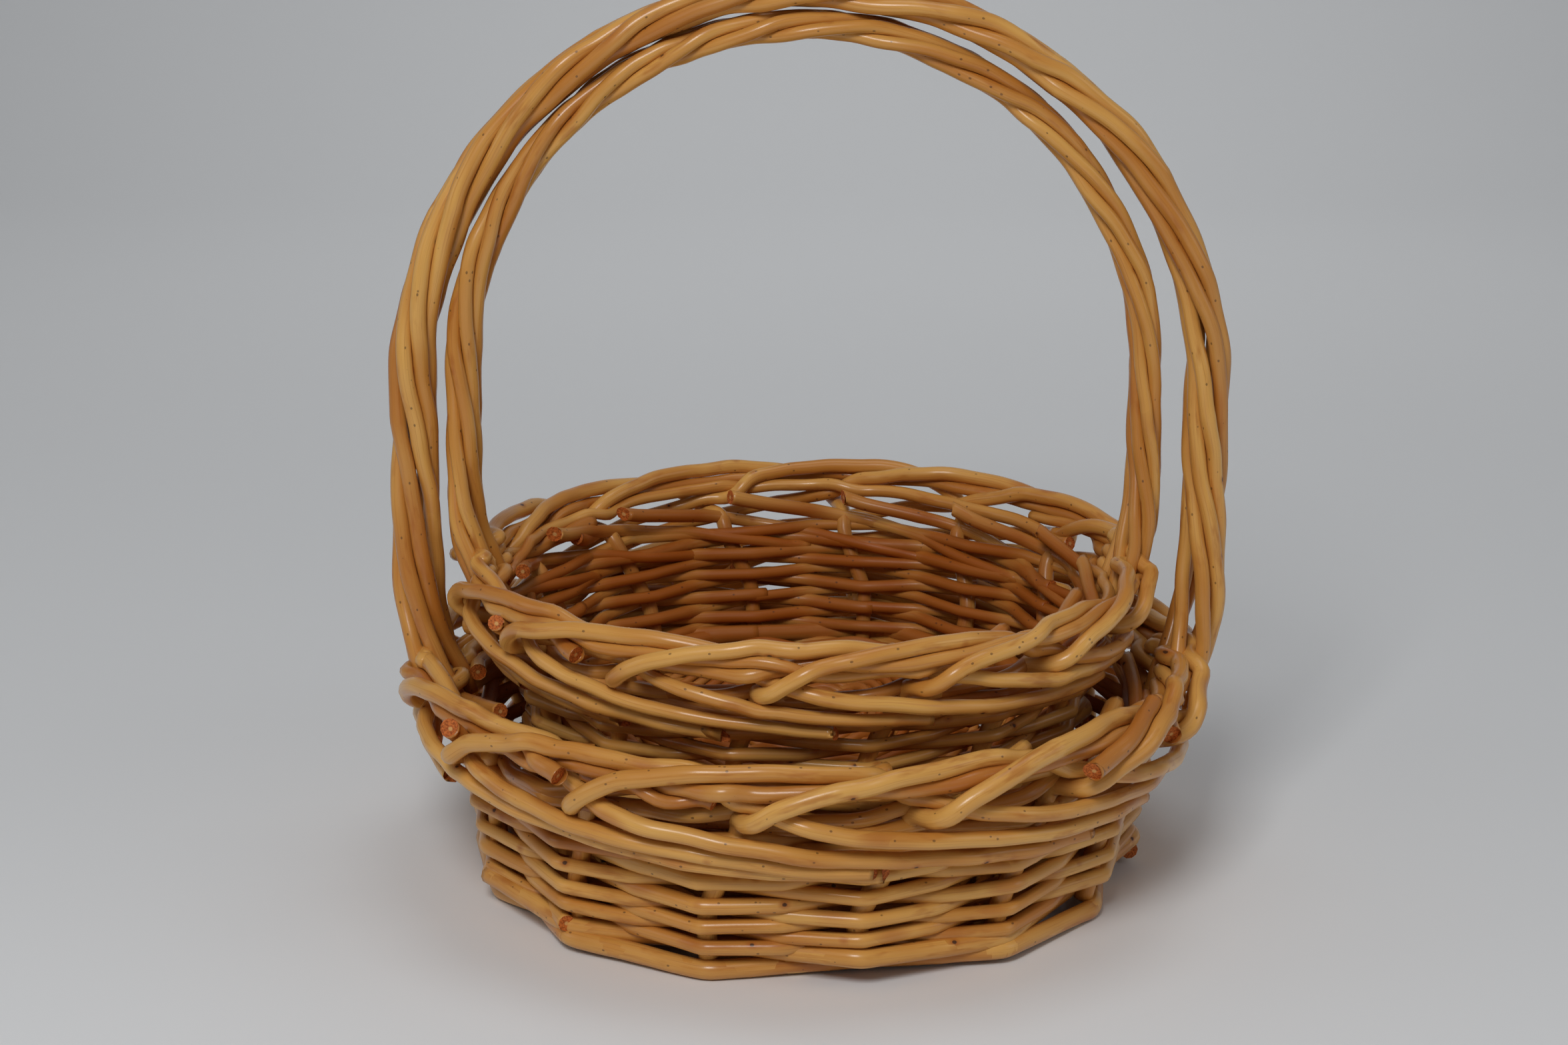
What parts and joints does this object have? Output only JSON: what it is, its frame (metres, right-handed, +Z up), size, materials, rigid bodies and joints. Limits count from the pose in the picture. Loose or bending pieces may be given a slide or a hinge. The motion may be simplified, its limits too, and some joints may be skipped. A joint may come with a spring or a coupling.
{
  "type": "nested wicker baskets",
  "caption": "Two round woven willow baskets with arched rod handles, the smaller one nested in the larger and free to turn.",
  "frame": {"origin": "centre of the underside of the large basket, on the surface it stands on", "axes": "+Z up through the middle of both baskets, X across the basket in the plane of the handles, Y front (-) to back (+)"},
  "size_m": [0.354, 0.3508, 0.389],
  "materials": {
    "willow_weave": "satin varnish",
    "willow_stakes": "satin varnish",
    "willow_border": "satin varnish",
    "willow_handle": "satin varnish"
  },
  "bodies": {
    "large_basket": {"large_floor_cross": "willow_stakes", "large_floor_sticks": "willow_stakes", "large_floor_weave": "willow_weave", "large_stakes": "willow_stakes", "large_foot_wale": "willow_weave", "large_top_wale": "willow_weave", "large_border_rim": "willow_border", "large_border_skirt": "willow_border", "large_row_1": "willow_weave", "large_row_2": "willow_weave", "large_row_3": "willow_weave", "large_row_4": "willow_weave", "large_row_5": "willow_weave", "large_row_6": "willow_weave", "large_row_7": "willow_weave", "large_row_8": "willow_weave", "large_row_9": "willow_weave", "large_row_10": "willow_weave", "large_row_11": "willow_weave", "large_row_12": "willow_weave", "large_handle_inner_front": "willow_handle", "large_handle_inner_middle": "willow_handle", "large_handle_inner_back": "willow_handle", "large_handle_outer_front": "willow_handle", "large_handle_outer_middle": "willow_handle", "large_handle_outer_back": "willow_handle"},
    "small_basket": {"small_floor_cross": "willow_stakes", "small_floor_sticks": "willow_stakes", "small_floor_weave": "willow_weave", "small_stakes": "willow_stakes", "small_foot_wale": "willow_weave", "small_top_wale": "willow_weave", "small_border_rim": "willow_border", "small_border_skirt": "willow_border", "small_row_1": "willow_weave", "small_row_2": "willow_weave", "small_row_3": "willow_weave", "small_row_4": "willow_weave", "small_row_5": "willow_weave", "small_row_6": "willow_weave", "small_row_7": "willow_weave", "small_row_8": "willow_weave", "small_row_9": "willow_weave", "small_row_10": "willow_weave", "small_handle_inner_front": "willow_handle", "small_handle_inner_middle": "willow_handle", "small_handle_inner_back": "willow_handle", "small_handle_outer_front": "willow_handle", "small_handle_outer_middle": "willow_handle", "small_handle_outer_back": "willow_handle"}
  },
  "joints": [
    {"name": "nest_turn", "type": "hinge", "parent": "large_basket", "child": "small_basket", "pos_m": [0, 0, 0.1], "axis": [0, 0, 1], "continuous": true}
  ]
}
